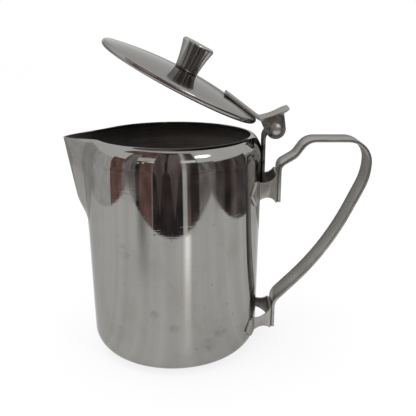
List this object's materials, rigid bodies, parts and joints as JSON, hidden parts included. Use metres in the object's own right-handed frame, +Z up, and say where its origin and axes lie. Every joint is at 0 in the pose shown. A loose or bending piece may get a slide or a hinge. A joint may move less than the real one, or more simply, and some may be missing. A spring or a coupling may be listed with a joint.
{
  "type": "hot milk jug with lid",
  "caption": "Straight-sided polished steel milk jug with a beak spout, a swan-neck strap handle on two saddle brackets, and a hinged domed lid with a knob and a thumb lift.",
  "frame": {"origin": "centre of the base's underside, on the axis of the round body", "axes": "+Z up along the body's axis, -X towards the spout, +X towards the handle and the hinge, Y across; the jug is the same on both sides of y = 0"},
  "size_m": [0.1551, 0.09, 0.1597],
  "materials": {
    "body_steel": "mirror polished stainless steel with fine scratches and smudges",
    "lid_steel": "mirror polished stainless steel",
    "handle_steel": "satin stainless steel strip",
    "bracket_steel": "polished stainless steel sheet",
    "hinge_steel": "polished stainless steel strip",
    "rivet_steel": "polished stainless steel",
    "knob_steel": "polished turned stainless steel",
    "screw_steel": "plain stainless steel"
  },
  "bodies": {
    "jug": {"jug_body": "body_steel", "upper_bracket": "bracket_steel", "lower_bracket": "bracket_steel", "handle": "handle_steel", "hinge_post": "hinge_steel"},
    "lid": {"lid_disc": "lid_steel", "lid_strap": "hinge_steel", "hinge_rivet": "rivet_steel", "lid_knob": "knob_steel", "knob_screw": "screw_steel"}
  },
  "joints": [
    {"name": "lid_hinge", "type": "hinge", "parent": "jug", "child": "lid", "pos_m": [0.051, 0, 0.1161], "axis": [0, 1, 0], "range_deg": [-27.7, 82.3]}
  ]
}
